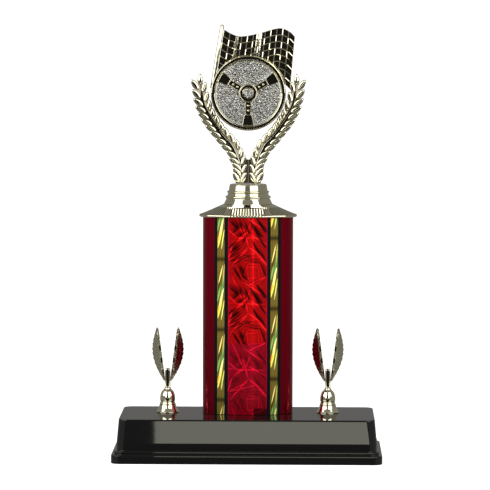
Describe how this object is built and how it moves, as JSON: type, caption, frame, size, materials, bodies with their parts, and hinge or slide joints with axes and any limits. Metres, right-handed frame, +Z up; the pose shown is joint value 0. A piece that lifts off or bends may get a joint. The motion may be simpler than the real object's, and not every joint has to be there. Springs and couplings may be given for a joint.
{
  "type": "column trophy",
  "caption": "Column trophy: weighted black base, red foil oval column with striped faces, fluted gold cap, laurel, steering wheel and flag topper, winged side trims.",
  "frame": {"origin": "centre of the base's foot, on the surface that the trophy stands on", "axes": "+Z up, front towards -Y, left towards -X"},
  "size_m": [0.2164, 0.096, 0.349],
  "materials": {
    "base_plastic": "glossy black moulded plastic",
    "cast_weight": "cast mineral weight, matt",
    "brown_board": "plain brown pressed board",
    "tube_board": "wound board tube, under the foil",
    "red_foil": "smooth metallised red film",
    "crystal_foil": "metallised red film embossed with broken facets",
    "streak_foil": "metallised gold film with slanting streaks, edged in black",
    "gold_metallised": "pale gold vacuum-metallised moulded plastic, mirror bright",
    "dark_metallised": "metallised moulding that mirrors its dark surroundings",
    "pebbled_silver": "metallised moulding with a fine pebbled ground",
    "plated_steel": "bright zinc-plated steel"
  },
  "bodies": {
    "trophy": {"base_shell": "base_plastic", "base_weight": "cast_weight", "bottom_board": "brown_board", "tie_rod": "plated_steel", "rod_washer": "plated_steel", "rod_nut": "plated_steel", "column_core": "tube_board", "column_wrap": "red_foil", "panel_front": "crystal_foil", "panel_rear": "crystal_foil", "stripe_front_left": "streak_foil", "stripe_front_right": "streak_foil", "stripe_rear_left": "streak_foil", "stripe_rear_right": "streak_foil", "lower_plug": "brown_board", "upper_plug": "brown_board", "column_cap": "gold_metallised", "left_trim_screw": "plated_steel", "left_trim_washer": "plated_steel", "right_trim_screw": "plated_steel", "right_trim_washer": "plated_steel"},
    "topper": {"topper_pedestal": "gold_metallised", "topper_nut": "plated_steel", "laurel_left": "gold_metallised", "laurel_right": "gold_metallised", "wheel_disc": "pebbled_silver", "wheel_rim": "dark_metallised", "wheel_spokes": "dark_metallised", "hub_button": "gold_metallised", "flag_pole": "gold_metallised", "flag": "gold_metallised"},
    "left_trim": {"left_trim_bell": "gold_metallised", "left_trim_body": "gold_metallised", "left_trim_outer_wing": "gold_metallised", "left_trim_inner_wing": "gold_metallised"},
    "right_trim": {"right_trim_bell": "gold_metallised", "right_trim_body": "gold_metallised", "right_trim_outer_wing": "gold_metallised", "right_trim_inner_wing": "gold_metallised"}
  },
  "joints": [
    {"name": "topper_turn", "type": "hinge", "parent": "trophy", "child": "topper", "pos_m": [0, 0.007, 0.2046], "axis": [0, 0, 1], "range_deg": [-180, 180]},
    {"name": "left_trim_turn", "type": "hinge", "parent": "trophy", "child": "left_trim", "pos_m": [-0.065, 0.007, 0.035], "axis": [0, 0, 1], "continuous": true},
    {"name": "right_trim_turn", "type": "hinge", "parent": "trophy", "child": "right_trim", "pos_m": [0.065, 0.007, 0.035], "axis": [0, 0, 1], "continuous": true}
  ]
}
